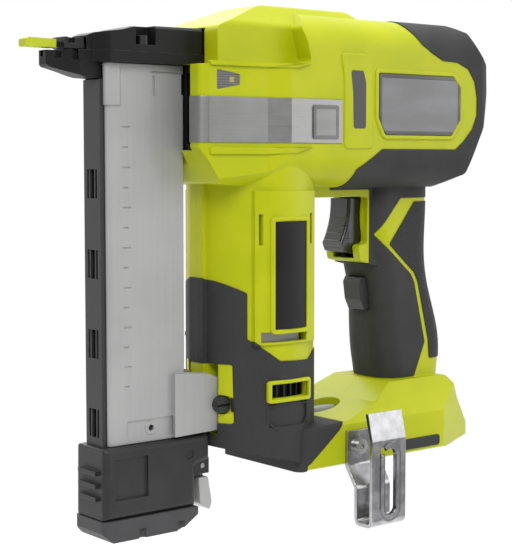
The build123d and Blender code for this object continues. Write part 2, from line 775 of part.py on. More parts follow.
# ---------------------------------------------------------------- controls
with BuildPart() as trigger:
    with BuildSketch(Plane.XZ):
        with BuildLine():
            face_top = (204, -77.6)
            face_tip = (198.2, -102)
            ThreePointArc(face_top, (202.6, -91), face_tip)
            Polyline(
                face_tip, (200.5, -107.5), (208, -109.2), (215, -104), (217, -92), (222.5, -84.5),
                (222.5, -79), (217, -77.6), face_top,
            )
        make_face()
    extrude(amount=trigger_half, both=True)
    fillet(trigger.edges().filter_by(Axis.Z, reverse=True).filter_by(GeomType.CIRCLE), 1.6)
    for rib in range(8):
        z = -81 - 2.6 * rib
        add(box(190, 202.2 - 0.12 * rib * rib * 0.9, -5.5, 5.5, z - 0.5, z + 0.1), mode=Mode.SUBTRACT)
    add(rod_y(trigger_pin_x, trigger_pin_z, trigger_pin_radius + pin_fit, -20, 20), mode=Mode.SUBTRACT)
write(trigger.part, "trigger")

pin_half = bezel_half - 0.3
write(rod_y(trigger_pin_x, trigger_pin_z, trigger_pin_radius, -pin_half, pin_half), "trigger_pin")

with BuildPart() as button:
    with BuildSketch(Plane.XZ) as button_side:
        with BuildLine():
            Polyline(
                (button_front, button_top - 3), (215, button_top), (229, button_top),
                (229, button_bottom), (218, button_bottom), (button_front + 1.5, button_bottom + 6),
                close=True,
            )
        make_face()
        fillet(button_side.vertices(), 0.8)
    extrude(amount=button_half, both=True)
write(button.part, "power_button")

with BuildPart() as switch:
    add(box(231.5, 250, -14.6, 14.6, -110, -84))
    add(box(220.6, 232, -3, 3, -98, -94))
write(switch.part, "trigger_switch")

with BuildPart() as lever:
    with BuildSketch(Plane.XY.offset(lever_z - 5.5)):
        with Locations((lever_x, 0)):
            Circle(10.4)
    extrude(amount=2.0)
    with BuildSketch(Plane.XY.offset(lever_z - 4.0)):
        with Locations((lever_x, 0)):
            SlotOverall(19, 7)
    extrude(amount=5.4)
    fillet(lever.faces().sort_by(Axis.Z)[-1].edges(), 1.4)
write(lever.part, "mode_lever")

# ---------------------------------------------------------------- belt hook
hook_base_y = -foot_half - 0.05
with BuildPart() as hook:
    with BuildSketch(Plane.YZ.offset(hook_x - hook_width / 2)):
        with BuildLine() as hook_path:
            FilletPolyline(
                (hook_base_y - 1.0, -203), (hook_base_y - 1.0, -222), (hook_base_y - 8.5, -233),
                (hook_base_y - 8.5, -252.5), (hook_base_y - 20.5, -252.5), (hook_base_y - 20.5, -206),
                (hook_base_y - 17.0, -191.5), radius=3.0,
            )
        trace(hook_path.edges(), line_width=hook_gauge)
    extrude(amount=hook_width)
    with BuildPart(mode=Mode.PRIVATE) as hook_cuts:
        with BuildSketch(Plane.XZ.offset(30)):
            with Locations((hook_x + 1.0, -229)):
                SlotOverall(36, 8.0, rotation=90)
        extrude(amount=60)
    with BuildPart(mode=Mode.PRIVATE) as outer_leg:
        add(hook_cuts.part)
        add(box(150, 230, hook_base_y - 30, hook_base_y - 16, -260, -180), mode=Mode.INTERSECT)
    add(outer_leg.part, mode=Mode.SUBTRACT)
    add(rod_y(hook_screw_x, hook_screw_z, hook_screw_radius + fit, -60, -20), mode=Mode.SUBTRACT)
write(hook.part, "belt_hook")

with BuildPart() as hook_screw:
    add(rod_y(hook_screw_x, hook_screw_z, 4.0, hook_base_y - 4.6, hook_base_y - 2.05))
    add(rod_y(hook_screw_x, hook_screw_z, hook_screw_radius, hook_base_y - 2.1, -foot_half + wall))
    with Locations(Plane((hook_screw_x, hook_base_y - 4.6, hook_screw_z), z_dir=(0, -1, 0))):
        Hole(1.6, 1.6)
write(hook_screw.part, "hook_screw")

with BuildPart() as foot_pads:
    for side in (-1, 1):
        y = side * (foot_half + 0.35)
        add(box(217, 250, y - 0.3, y + 0.3, -219.5, -213.5))
    fillet(foot_pads.edges().filter_by(Axis.Y), 1.8)
write(foot_pads.part, "foot_pads")

# ---------------------------------------------------------------- battery socket
stem_front = 229.8
stem_rear = 264.0
stem_half = 14.0
stem_top = -150.0
socket_wall = 1.8
stem_corner = 7.0
tray_front = 196.3
tray_rear = 283.7
tray_half = 26.2
with BuildPart() as socket:
    add(in_foot(box(tray_front, tray_rear, -tray_half, tray_half, foot_bottom + 0.4, -206.2), -wall - 0.3))
    with BuildSketch(Plane.XY.offset(-207)):
        with Locations(((stem_front + stem_rear) / 2, 0)):
            RectangleRounded(stem_rear - stem_front, 2 * stem_half, stem_corner)
    extrude(amount=stem_top + 207)
    with BuildSketch(Plane.XY.offset(-230)):
        with Locations(((stem_front + stem_rear) / 2, 0)):
            RectangleRounded(
                stem_rear - stem_front - 2 * socket_wall, 2 * (stem_half - socket_wall),
                stem_corner - socket_wall,
            )
    extrude(amount=stem_top - socket_wall + 230, mode=Mode.SUBTRACT)
    add(
        in_foot(
            box(
                tray_front + socket_wall, tray_rear - socket_wall,
                -tray_half + socket_wall, tray_half - socket_wall, -230, -208,
            ),
            -wall - 0.3 - socket_wall,
        ),
        mode=Mode.SUBTRACT,
    )
write(socket.part, "battery_socket")

with BuildPart() as terminals:
    for y in (-6, 0, 6):
        add(box(238, 256, y - 0.5, y + 0.5, stem_top - 14, stem_top - socket_wall))
write(terminals.part, "battery_terminals")

board_top = stem_top + 1.6
with BuildPart() as board:
    add(box(stem_front + 2, stem_rear - 2, -9, 9, stem_top, board_top))
    for x in (238, 249):
        add(box(x, x + 7, -6, 3, board_top - 0.2, board_top + 5))
    add(rod_z(243, 5.5, 2.6, board_top - 0.2, board_top + 6))
write(board.part, "control_board")

# ---------------------------------------------------------------- motor and lifter
with BuildPart() as motor:
    with BuildSketch(Plane.XY.offset(motor_bottom)):
        with Locations((barrel_x, 0)):
            Circle(motor_radius)
    extrude(amount=motor_top - motor_bottom)
    fillet(motor.edges(), 1.5)
    add(rod_z(barrel_x, 0, shaft_radius + 0.3, motor_bottom - 5, motor_top + 5), mode=Mode.SUBTRACT)
write(motor.part, "motor_can")

cone_clearance = 0.4            # the bevel cones stand this far short of their pitch line
pinion_big = shaft_height - gear_radius
pinion_small = pinion_big + 4.0
pinion_small_radius = pinion_radius * (shaft_height - pinion_small) / gear_radius
with BuildPart() as rotor:
    add(rod_z(barrel_x, 0, shaft_radius, motor_bottom - 8, pinion_big))
    add(rod_z(barrel_x, 0, 20.0, motor_bottom - 8, motor_bottom - 6))
    for blade in range(9):
        turn = 40 * blade
        with BuildSketch(Plane.XY.offset(motor_bottom - 6.5)):
            with Locations((barrel_x + 13 * cos(radians(turn)), 13 * sin(radians(turn)))):
                Rectangle(12, 1.4, rotation=turn)
        extrude(amount=5.0)
    add(rod_z(barrel_x, 0, pinion_radius - cone_clearance, pinion_big - 4, pinion_big))
    with BuildSketch(Plane.XY.offset(pinion_big)):
        with Locations((barrel_x, 0)):
            Circle(pinion_radius - cone_clearance)
    with BuildSketch(Plane.XY.offset(pinion_small)):
        with Locations((barrel_x, 0)):
            Circle(pinion_small_radius - cone_clearance)
    loft()
write(rotor.part, "motor_rotor")

with BuildPart() as gearbox:
    add(rod_z(barrel_x, 0, gearbox_radius, -124, gearbox_top + 2))
    add(rod_z(barrel_x, 0, gearbox_radius - 5, -122, gearbox_top), mode=Mode.SUBTRACT)
    for side in (-1, 1):
        y = side * (shaft_end + cheek / 2)
        add(
            box(
                barrel_x - 11, barrel_x + 11, y - cheek / 2, y + cheek / 2,
                gearbox_top + 1, shaft_height + 11,
            )
        )
    add(rod_z(barrel_x, 0, shaft_radius + 0.4, -130, -60), mode=Mode.SUBTRACT)
    add(rod_y(barrel_x, shaft_height, 8.0, -40, 40), mode=Mode.SUBTRACT)
write(gearbox.part, "gearbox")

gear_big = pinion_radius
gear_small = gear_big - 2.0
gear_small_radius = gear_radius * gear_small / gear_big
with BuildPart() as lifter:
    add(rod_y(barrel_x, shaft_height, 3.0, -shaft_end - cheek, shaft_end + cheek))
    add(rod_y(barrel_x, shaft_height, lifter_radius, -4, 4))
    for tooth in range(8):
        turn = radians(30 * tooth + 165)
        x = barrel_x + lifter_radius * cos(turn)
        z = shaft_height + lifter_radius * sin(turn)
        add(rod_y(x, z, lifter_tooth, -4, 4))
    add(rod_y(barrel_x, shaft_height, gear_radius - cone_clearance, gear_big, gear_big + 4))
    with BuildSketch(Plane.XZ.offset(-gear_big)):
        with Locations((barrel_x, shaft_height)):
            Circle(gear_radius - cone_clearance)
    with BuildSketch(Plane.XZ.offset(-gear_small)):
        with Locations((barrel_x, shaft_height)):
            Circle(gear_small_radius - cone_clearance)
    loft()
write(lifter.part, "lifter_wheel")

with BuildPart() as bearings:
    for side in (-1, 1):
        y = side * (shaft_end + cheek / 2)
        add(rod_y(barrel_x, shaft_height, 8.0, y - cheek / 2, y + cheek / 2))
    add(rod_y(barrel_x, shaft_height, 3.0 + pin_fit, -40, 40), mode=Mode.SUBTRACT)
write(bearings.part, "shaft_bearings")

# ---------------------------------------------------------------- drive cylinder
with BuildPart() as cylinder:
    add(rod_x(0, drive_axis, cylinder_radius, cylinder_front, cylinder_rear))
    add(rod_x(0, drive_axis, cylinder_bore, cylinder_front - 1, cylinder_rear + 1), mode=Mode.SUBTRACT)
write(cylinder.part, "drive_cylinder")

with BuildPart() as front_cap:
    add(rod_x(0, drive_axis, cylinder_radius, cylinder_front - 6, cylinder_front))
    add(rod_x(0, drive_axis, 6.5, cylinder_front - 8, cylinder_front + 1), mode=Mode.SUBTRACT)
write(front_cap.part, "cylinder_front_cap")

with BuildPart() as rear_cap:
    add(rod_x(0, drive_axis, cylinder_radius, cylinder_rear, cylinder_rear + 5))
    add(rod_x(0, drive_axis, cylinder_bore - 0.1, cylinder_rear - 4, cylinder_rear))
write(rear_cap.part, "cylinder_rear_cap")

with BuildPart() as bumper_ring:
    add(rod_x(0, drive_axis, cylinder_bore - 0.1, cylinder_front, cylinder_front + 9))
    add(rod_x(0, drive_axis, 6.5, cylinder_front - 1, cylinder_front + 10), mode=Mode.SUBTRACT)
write(bumper_ring.part, "stop_bumper")

piston_front = cylinder_front + 9.4
piston_length = 10.0
groove_depth = 3.0
with BuildPart() as piston:
    add(rod_x(0, drive_axis, cylinder_bore - slide_fit, piston_front, piston_front + piston_length))
    add(rod_x(0, drive_axis, cylinder_bore + 1, piston_front + 4, piston_front + 7), mode=Mode.SUBTRACT)
    add(rod_x(0, drive_axis, cylinder_bore - groove_depth - fit, piston_front + 3, piston_front + 8))
    add(
        box(
            nose_front + 1, piston_front + 1, -blade_half, blade_half,
            drive_axis - blade_half_height, drive_axis + blade_half_height,
        )
    )
write(piston.part, "driver_piston")

with BuildPart() as seal:
    with BuildSketch(Plane.YZ.offset(piston_front + 4.1)):
        with Locations((0, drive_axis)):
            Circle(cylinder_bore - 0.3)
            Circle(cylinder_bore - groove_depth, mode=Mode.SUBTRACT)
    extrude(amount=2.8)
write(seal.part, "piston_seal")
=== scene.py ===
from math import cos, hypot, pi, radians, sin, sqrt

import bmesh
import bpy
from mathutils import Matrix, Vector


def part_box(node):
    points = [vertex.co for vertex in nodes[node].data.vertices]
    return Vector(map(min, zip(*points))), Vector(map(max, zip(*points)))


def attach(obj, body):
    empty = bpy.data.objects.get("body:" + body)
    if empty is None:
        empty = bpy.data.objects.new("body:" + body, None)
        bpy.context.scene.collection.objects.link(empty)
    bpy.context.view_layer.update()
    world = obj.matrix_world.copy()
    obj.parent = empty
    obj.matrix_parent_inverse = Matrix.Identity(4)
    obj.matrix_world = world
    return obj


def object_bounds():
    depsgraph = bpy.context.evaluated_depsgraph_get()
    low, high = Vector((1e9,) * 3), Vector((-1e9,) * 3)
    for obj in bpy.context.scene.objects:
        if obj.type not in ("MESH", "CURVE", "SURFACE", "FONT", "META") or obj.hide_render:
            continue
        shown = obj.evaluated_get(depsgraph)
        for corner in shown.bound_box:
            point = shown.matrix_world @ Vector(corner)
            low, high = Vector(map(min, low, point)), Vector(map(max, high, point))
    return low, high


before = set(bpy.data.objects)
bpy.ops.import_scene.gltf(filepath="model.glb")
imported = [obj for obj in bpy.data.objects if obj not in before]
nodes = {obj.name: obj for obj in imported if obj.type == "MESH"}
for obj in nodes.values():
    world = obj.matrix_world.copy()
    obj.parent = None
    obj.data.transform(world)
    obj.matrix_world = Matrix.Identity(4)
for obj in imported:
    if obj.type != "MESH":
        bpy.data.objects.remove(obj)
cad_box = [list(corner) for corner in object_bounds()]

# ------------------------------------------------------------ casing halves
# Two glass-filled nylon mouldings in lime, joined on the middle plane of the tool. The
# mould leaves a fine spark-eroded grain, handling makes the edges a little glossier, and the edges carry a
# painted highlight.
LIME = (0.45, 0.50, 0.003)
LIME_WARM = (0.50, 0.535, 0.006)


class Field:
    """A value that varies over a surface: a shader socket that takes part in sums."""

    def __init__(self, material, socket=None):
        self.material = material
        self.socket = socket

    def node(self, kind, settings, inputs, output=0):
        """Any other node: its settings first, then the values or links of its sockets."""
        made = self.material.node_tree.nodes.new(kind)
        for name, value in settings.items():
            setattr(made, name, value)
        for name, value in inputs.items():
            if isinstance(value, Field):
                self.material.node_tree.links.new(value.socket, made.inputs[name])
            else:
                made.inputs[name].default_value = value
        return Field(self.material, made.outputs[output])

    def maths(self, operation, a, b=0.0):
        return self.node("ShaderNodeMath", {"operation": operation}, {0: a, 1: b})

    def __add__(self, other):
        return self.maths("ADD", self, other)

    __radd__ = __add__

    def __sub__(self, other):
        return self.maths("SUBTRACT", self, other)

    def __rsub__(self, other):
        return self.maths("SUBTRACT", other, self)

    def __mul__(self, other):
        return self.maths("MULTIPLY", self, other)

    __rmul__ = __mul__

    def __abs__(self):
        return self.maths("ABSOLUTE", self)

    def __and__(self, other):
        return self.maths("MINIMUM", self, other)

    def __or__(self, other):
        return self.maths("MAXIMUM", self, other)

    def sine(self):
        return self.maths("SINE", self)

    def step(self, low, high):
        """0 below low, 1 above high, and smooth between them."""
        inputs = {"Value": self, "From Min": low, "From Max": high}
        return self.node("ShaderNodeMapRange", {"interpolation_type": "SMOOTHSTEP"}, inputs)

    def noise(self, size, detail=2.0, stretch=(1.0, 1.0, 1.0)):
        """Cloudy noise whose lumps are about size metres, longer where stretch is larger."""
        scale = tuple(1.0 / (size * pull) for pull in stretch)
        spot = self.node("ShaderNodeMapping", {}, {"Vector": self, "Scale": scale})
        return self.node("ShaderNodeTexNoise", {}, {"Vector": spot, "Scale": 1.0, "Detail": detail})

    def blend(self, low, high):
        """Colour that goes from low to high as this value goes from 0 to 1."""
        inputs = {0: self}
        for number, tone in ((6, low), (7, high)):
            inputs[number] = tone if isinstance(tone, Field) else (*tone, 1.0)
        return self.node("ShaderNodeMix", {"data_type": "RGBA"}, inputs, 2)

    def axis(self, number):
        return self.node("ShaderNodeSeparateXYZ", {}, {0: self}, number)


class Finish:
    """A material with one principled shader, whose constants are set on its own sockets."""

    def __init__(self, name, constants):
        self.material = bpy.data.materials.new(name)
        self.material.use_nodes = True
        self.shader = self.material.node_tree.nodes["Principled BSDF"]
        for socket, value in constants.items():
            self.shader.inputs[socket].default_value = value
        self.start = Field(self.material)
        self.place = self.start.node("ShaderNodeTexCoord", {}, {}, "Object")

    def feed(self, **sockets):
        for socket, field in sockets.items():
            target = self.shader.inputs[socket.replace("_", " ")]
            self.material.node_tree.links.new(field.socket, target)

    def soft_edge(self, radius):
        """Normal rounded over sharp edges, and a mask that is 1 along them."""
        soft = self.start.node("ShaderNodeBevel", {"samples": 4}, {"Radius": radius})
        plain = self.start.node("ShaderNodeNewGeometry", {}, {}, "Normal")
        inputs = {0: soft, 1: plain}
        same = self.start.node("ShaderNodeVectorMath", {"operation": "DOT_PRODUCT"}, inputs, "Value")
        return soft, (1.0 - same).step(0.01, 0.16)

    def relief(self, height, depth, normal):
        inputs = {"Height": height, "Distance": depth, "Normal": normal}
        self.feed(Normal=self.start.node("ShaderNodeBump", {}, inputs))


def dress(names, finish):
    """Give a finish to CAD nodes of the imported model."""
    for name in names:
        for slot in nodes[name].material_slots:
            slot.material = finish.material


def moulded(name, tone, other, rough, grain, depth, edge=0.0006, edge_highlight=0.2, **constants):
    """Moulded plastic: two close tones in slow clouds, a fine grain, glossier edges with a painted highlight,
    light scuffs.
    """
    finish = Finish(name, constants)
    soft, rim = finish.soft_edge(edge)
    clouds = finish.place.noise(0.03, 3.0).step(0.35, 0.65)
    scuffs = finish.place.noise(0.0016, 5.0, (1, 1, 6)).step(0.62, 0.78)
    grit = finish.place.noise(grain, 1.0)
    # Painted highlight: along sharp edges the colour is blended toward this lighter tone, by the amount
    # edge_highlight sets.
    bright = tuple(min(1.0, part * 1.25 + 0.012) for part in tone)
    body = clouds.blend(tone, other)
    finish.feed(Base_Color=(rim * edge_highlight).blend(body, bright))
    finish.feed(Roughness=rough + clouds * 0.05 + scuffs * 0.06 - rim * 0.12 + grit * 0.04)
    finish.relief(grit, depth, soft)
    return finish


casing_finish = moulded("lime_moulding", LIME, LIME_WARM, 0.36, 0.0006, 0.00003, edge_highlight=0.35,
                        **{"Specular IOR Level": 0.28})
dress(("left_housing", "right_housing"), casing_finish)

# ------------------------------------------------------------ grip overmould
# Charcoal thermoplastic rubber moulded over the casing: matt, with a fine leather grain on
# the cap and a panel of small slanted scales where the fingers hold the grip.
CHARCOAL = (0.030, 0.030, 0.031)
# The lighter charcoal serves both for real wear and scuffs and for painted highlights along edges and on
# raised texture.
CHARCOAL_WORN_AND_LIT = (0.058, 0.058, 0.060)
SCALE_PANEL = (
    (0.206, -0.117), (0.239, -0.128), (0.247, -0.149), (0.248, -0.167), (0.239, -0.179),
    (0.204, -0.175),
)


def inside_panel(place, corners):
    """Distance in metres to the nearest edge of a convex panel seen from the side."""
    across = place.axis(0)
    up = place.axis(2)
    depth = None
    for number, (x0, z0) in enumerate(corners):
        x1, z1 = corners[(number + 1) % len(corners)]
        length = hypot(x1 - x0, z1 - z0)
        nx, nz = (z1 - z0) / length, (x0 - x1) / length
        gap = (x0 * nx + z0 * nz) - (across * nx + up * nz)
        depth = gap if depth is None else depth & gap
    return depth


overmould = Finish("grip_rubber", {"Specular IOR Level": 0.35})
soft, rim = overmould.soft_edge(0.0007)
spot = overmould.place
panel = (inside_panel(spot, SCALE_PANEL)).step(-0.0002, 0.0008)
lean = (spot.axis(0) * 1.0 + spot.axis(2) * 0.75) * (2 * pi / 0.0019)
cross = (spot.axis(2) * 1.0 - spot.axis(0) * 0.35) * (2 * pi / 0.0034)
scales = abs(lean.sine()) & abs(cross.sine()).step(0.05, 0.5)
leather = spot.noise(0.0009, 3.0)
clouds = spot.noise(0.025, 3.0).step(0.35, 0.65)
# Colour: random clouds, a painted highlight along the edges, and in the scale panel a painted shade that
# follows the relief, with scale tops lighter and grooves darker.
shade = rim * 0.35 + panel * (scales * 0.75 - 0.35) + clouds * 0.3
overmould.feed(Base_Color=shade.blend(CHARCOAL, CHARCOAL_WORN_AND_LIT))
overmould.feed(Roughness=0.6 + leather * 0.12 - rim * 0.08 - panel * scales * 0.16)
overmould.relief(leather * 0.12 + panel * scales, 0.0006, soft)
dress(("left_grip_overmould", "right_grip_overmould"), overmould)

# ------------------------------------------------------------ palm pad
# The back strap is the same rubber, but softer and covered with rows of small round dots
# so that the palm does not slip.
palm = Finish("palm_rubber", {"Specular IOR Level": 0.35})
soft, rim = palm.soft_edge(0.0007)
inputs = {"Vector": palm.place, "Scale": 620.0, "Randomness": 0.25}
dots = 1.0 - palm.start.node("ShaderNodeTexVoronoi", {}, inputs).step(0.15, 0.6)
# Painted shade that follows the relief: the raised dots are lighter than the rubber between them, and the
# edges carry a painted highlight.
palm.feed(Base_Color=(dots * 0.3 + rim * 0.4).blend(CHARCOAL, CHARCOAL_WORN_AND_LIT))
palm.feed(Roughness=0.68 - dots * 0.1 + palm.place.noise(0.004) * 0.1)
palm.relief(dots, 0.00025, soft)
dress(("palm_pad",), palm)

# ------------------------------------------------------------ barrel bumpers
# Two rubber shells bonded round the foot of the barrel, where the tool is set down. They
# have a short slanted grain and pale scuffs.
bumper = Finish("bumper_rubber", {"Specular IOR Level": 0.35})
soft, rim = bumper.soft_edge(0.0008)
spot = bumper.place
slant = (spot.axis(0) * 0.8 + spot.axis(2) + spot.noise(0.003) * 0.0012) * (2 * pi / 0.0016)
cells = abs(slant.sine()) * spot.noise(0.0011, 2.0)
scuffs = spot.noise(0.004, 5.0, (1, 1, 3)).step(0.6, 0.75)
# The pale scuffs are real wear. The edges carry a painted highlight, and the raised grain is lighter than its
# grooves, a painted shade that follows the relief.
bumper.feed(Base_Color=(rim * 0.45 + scuffs * 0.12 + cells * 0.2).blend(CHARCOAL, CHARCOAL_WORN_AND_LIT))
bumper.feed(Roughness=0.62 + cells * 0.1 - rim * 0.1)
bumper.relief(cells, 0.00022, soft)
dress(("left_barrel_bumper", "right_barrel_bumper", "foot_pads"), bumper)

# ------------------------------------------------------------ cylinder band
# A band of stainless sheet wrapped round the head, brushed along its length and held
# between the casing halves.


def brushed(name, tone, other, rough, along, depth=0.00002, edge=0.0004, **constants):
    """Metal with fine straight brush marks along one direction, slow stains, and a painted highlight along
    the edges.
    """
    finish = Finish(name, {"Metallic": 1.0, **constants})
    soft, rim = finish.soft_edge(edge)
    marks = finish.place.noise(0.00035, 3.0, along)
    stains = finish.place.noise(0.012, 3.0).step(0.3, 0.7)
    # The edges are painted lighter by rim, a painted highlight.
    finish.feed(Base_Color=(marks * 0.6 + stains * 0.2 + rim * 0.3).blend(tone, other))
    finish.feed(Roughness=rough + marks * 0.12 + stains * 0.05 - rim * 0.08)
    finish.relief(marks, depth, soft)
    return finish


band_finish = brushed("brushed_band", (0.33, 0.33, 0.325), (0.52, 0.52, 0.51), 0.34, (60, 60, 1))
dress(("cylinder_band",), band_finish)

# ------------------------------------------------------------ blank tags and badges
# The raised tag on the band is pewter-coloured zinc, blasted and left blank. The long badge
# behind it is satin plate with a darker edge, also blank.
TAG_BORDER = 0.0017
BADGE_BORDER = 0.0016


def blank_plate(name, field_tone, edge_tone, node, border):
    """Cast plate with a plain field and a rounded raised border."""
    finish = Finish(name, {"Metallic": 0.85})
    soft, rim = finish.soft_edge(0.0003)
    low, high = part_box(node)
    x0, x1, z0, z1 = low.x, high.x, low.z, high.z
    across = finish.place.axis(0)
    up = finish.place.axis(2)
    reach = ((across - x0) & (x1 - across)) & ((up - z0) & (z1 - up))
    field = reach.step(border, border + 0.0006)
    blast = finish.place.noise(0.0003, 2.0)
    sweep = finish.place.noise(0.02, 2.0, (2, 2, 0.5)).step(0.3, 0.7)
    finish.feed(Base_Color=(field * 0.75 + sweep * 0.25).blend(edge_tone, field_tone))
    finish.feed(Roughness=0.36 + blast * 0.14 + field * 0.08 - rim * 0.1)
    finish.relief(blast * 0.08 + (1.0 - field), 0.00025, soft)
    return finish


tag_finish = blank_plate("tag_zinc", (0.36, 0.36, 0.35), (0.17, 0.17, 0.17), "left_band_tag", TAG_BORDER)
dress(("left_band_tag", "right_band_tag"), tag_finish)
badge_finish = blank_plate("badge_plate", (0.26, 0.26, 0.265), (0.10, 0.10, 0.10), "left_badge", BADGE_BORDER)
dress(("left_badge", "right_badge"), badge_finish)

# ------------------------------------------------------------ dark trim
# The upright accent on the head is charcoal polycarbonate, wiped so that fine swirls show.
# The blank name plate on the barrel is printed satin black.
trim = Finish("dark_trim", {"Coat Roughness": 0.12})
soft, rim = trim.soft_edge(0.0005)
swirls = trim.place.noise(0.0012, 6.0, (4, 1, 1)).step(0.5, 0.8)
specks = trim.place.noise(0.0007, 1.0)
# The edges are painted lighter, a painted highlight. The swirls are real.
trim.feed(Base_Color=(rim * 0.5 + swirls * 0.12).blend((0.03, 0.03, 0.032), (0.09, 0.09, 0.095)))
trim.feed(Roughness=0.36 + swirls * 0.12 + specks * 0.06)
trim.feed(Coat_Weight=0.25 + specks * 0.1)
trim.relief(specks, 0.00003, soft)
dress(("left_accent", "right_accent"), trim)
plate_finish = moulded("plate_black", (0.006, 0.006, 0.0065), (0.010, 0.010, 0.0105), 0.46, 0.0005, 0.00003,
                       **{"Specular IOR Level": 0.3})
dress(("left_name_plate", "right_name_plate"), plate_finish)

# ------------------------------------------------------------ work light lens
# A clear snap-in lens each side of the nose, with moulded flutes that spread the light. The
# small yellow emitter behind it shows through as a square spot.
lens = Finish("lens_clear", {"Transmission Weight": 0.35, "IOR": 1.49})
soft, rim = lens.soft_edge(0.0003)
flutes = abs((lens.place.axis(2) * (2 * pi / 0.0026)).sine())
low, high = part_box("left_led_lens")
along = abs(lens.place.axis(0) - (low.x * 0.35 + high.x * 0.65))
upward = abs(lens.place.axis(2) - (low.z + high.z) / 2)
chip = 1.0 - (along | upward).step(0.0010, 0.0016)
# Painted light: the flutes are coloured in light and dark stripes that follow their relief, and the edges are
# painted lighter as a highlight.
cell = (flutes * 0.45 + rim * 0.3).blend((0.15, 0.145, 0.155), (0.42, 0.41, 0.42))
lens.feed(Base_Color=chip.blend(cell, (0.70, 0.56, 0.16)))
lens.feed(Roughness=0.12 + flutes * 0.1)
lens.relief(flutes, 0.0002, soft)
dress(("left_led_lens", "right_led_lens"), lens)

# ------------------------------------------------------------ raised lime frames
# Moulded in one with the casing: a rounded bead round the badge, a rim round the name plate
# and round the vent window, a plain block round the accent, and a narrow ledge above and
# below the band.
BEAD_HEIGHT = 0.0009
BEAD_WIDTH = 0.0023
BEAD_BEDDED = -0.0006
RIM_HEIGHT = 0.0014
RIM_WIDTH = 0.0024
FRAME_MARGIN = -0.0026
FRAME_CORNER = 0.003
LEDGE_CORNER = 0.0008
LEDGE_BEDDED = -0.0012
HEAD_HALF_WIDTH = 0.036
BARREL_X = 0.139
BARREL_RADIUS = 0.0345
PANEL_HALF_WIDTH = 0.0355
PANEL_CURVE = 0.045


def flat_side(x, z):
    """Half width of the head beside the badge, where its side is flat."""
    return HEAD_HALF_WIDTH


def panel_side(x, z):
    """Half width of the gently curved panel on the barrel."""
    return PANEL_HALF_WIDTH - PANEL_CURVE + sqrt(PANEL_CURVE**2 - (x - BARREL_X) ** 2)


def barrel_side(x, z):
    """Half width of the round barrel."""
    return sqrt(BARREL_RADIUS**2 - (x - BARREL_X) ** 2)


def nose_side(x, z):
    """Half width of the head where it narrows towards the nose."""
    full = HEAD_HALF_WIDTH
    stations = ((0.084, 0.028), (0.088, 0.030), (0.124, 0.033), (0.142, full), (0.2, full))
    for (x0, y0), (x1, y1) in zip(stations, stations[1:]):
        if x <= x1:
            return y0 + (y1 - y0) * (x - x0) / (x1 - x0)
    return full


def rounded(corners, radius, steps=5):
    """Outline whose corners are turned into short curves."""
    outline = []
    count = len(corners)
    for number in range(count):
        here = Vector(corners[number])
        before = (Vector(corners[number - 1]) - here).normalized()
        after = (Vector(corners[(number + 1) % count]) - here).normalized()
        start = here + before * radius
        end = here + after * radius
        for part in range(steps + 1):
            t = part / steps
            outline.append(start * (1 - t) ** 2 + here * 2 * t * (1 - t) + end * t**2)
    return outline


def moved_in(corners, amount):
    """The same outline with every side moved in by amount."""
    count = len(corners)
    result = []
    turn = sum(
        corners[n][0] * corners[(n + 1) % count][1] - corners[(n + 1) % count][0] * corners[n][1]
        for n in range(count)
    )
    inward = amount if turn > 0 else -amount
    for number in range(count):
        here = Vector(corners[number])
        before = (here - Vector(corners[number - 1])).normalized()
        after = (Vector(corners[(number + 1) % count]) - here).normalized()
        first = Vector((-before.y, before.x))
        second = Vector((-after.y, after.x))
        lean = (first + second).normalized()
        result.append(tuple(here + lean * (inward / max(0.2, lean.dot(first)))))
    return result


def raised_ring(name, corners, radius, width, low, high, surface, side, finish, soften):
    """Bead that follows a side face of the casing around an outline."""
    outer = rounded(corners, radius)
    inner = rounded(moved_in(corners, width), max(radius - width, 0.0004))
    mesh = bmesh.new()
    loops = []
    for outline, level in ((outer, low), (outer, high), (inner, high), (inner, low)):
        ring = []
        for spot_x, spot_z in outline:
            y = side * (surface(spot_x, spot_z) + level)
            ring.append(mesh.verts.new((spot_x, y, spot_z)))
        loops.append(ring)
    for number, ring in enumerate(loops):
        following = loops[(number + 1) % 4]
        for step in range(len(ring)):
            other = (step + 1) % len(ring)
            mesh.faces.new((ring[step], ring[other], following[other], following[step]))
    return finish_piece(name, mesh, finish, soften, "body")


def raised_plate(name, corners, radius, low, high, surface, side, finish, soften):
    """Solid plate that follows a side face: its outline is swept from low to high."""
    outline = rounded(corners, radius)
    mesh = bmesh.new()
    loops = []
    for level in (low, high):
        loops.append([mesh.verts.new((x, side * (surface(x, z) + level), z)) for x, z in outline])
    for step in range(len(outline)):
        other = (step + 1) % len(outline)
        mesh.faces.new((loops[0][step], loops[0][other], loops[1][other], loops[1][step]))
    for ring in loops:
        mesh.faces.new(ring)
    return finish_piece(name, mesh, finish, soften, "body")


def finish_piece(name, mesh, finish, soften, body):
    """Turn a bmesh into a smooth, edge-softened piece that rides on a body."""
    bmesh.ops.recalc_face_normals(mesh, faces=mesh.faces)
    data = bpy.data.meshes.new(name)
    mesh.to_mesh(data)
    mesh.free()
    piece = bpy.data.objects.new(name, data)
    bpy.context.scene.collection.objects.link(piece)
    data.materials.append(finish.material)
    if soften:
        edge = piece.modifiers.new("softened", "BEVEL")
        edge.width = soften
        edge.segments = 2
        edge.limit_method = "ANGLE"
    for face in data.polygons:
        face.use_smooth = True
    data.set_sharp_from_angle(angle=radians(35))
    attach(piece, body)
    return piece


